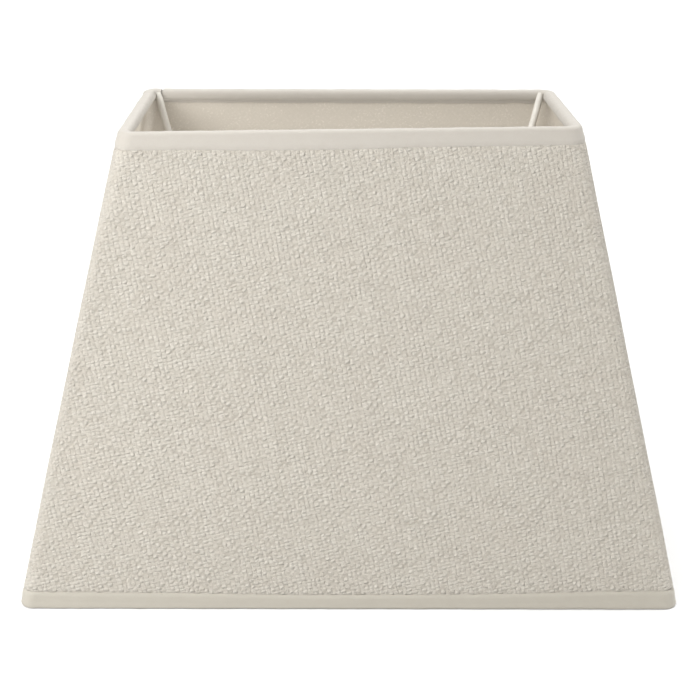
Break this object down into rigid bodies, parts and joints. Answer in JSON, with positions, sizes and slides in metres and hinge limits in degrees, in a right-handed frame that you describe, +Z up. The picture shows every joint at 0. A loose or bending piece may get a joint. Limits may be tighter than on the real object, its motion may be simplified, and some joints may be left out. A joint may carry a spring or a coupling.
{
  "type": "lamp shade",
  "caption": "Rectangular tapered lamp shade: woven cloth on a film liner, wire frames, taped rims, and a recessed ring on bent arms for the lampholder.",
  "frame": {"origin": "middle of the base, on the surface that the shade stands on", "axes": "+Z up, +X along the width, -Y towards the front; the sheet's seam is at the back left corner"},
  "size_m": [0.3, 0.2, 0.21],
  "materials": {
    "cover_cloth": "plain woven off-white cloth",
    "liner_film": "matt translucent film",
    "seam_glue": "dried glue line",
    "coated_wire": "white coating, satin",
    "coated_ring": "white coating, satin",
    "trim_tape": "smooth folded bias tape"
  },
  "bodies": {
    "root": {"cover_fabric": "cover_cloth", "cover_liner": "liner_film", "seam_adhesive": "seam_glue", "top_frame_wire": "coated_wire", "bottom_frame_wire": "coated_wire", "fitter_arm_front_left": "coated_wire", "fitter_arm_front_right": "coated_wire", "fitter_arm_back_left": "coated_wire", "fitter_arm_back_right": "coated_wire", "lampholder_ring": "coated_ring", "top_trim_tape": "trim_tape", "bottom_trim_tape": "trim_tape"}
  },
  "joints": []
}
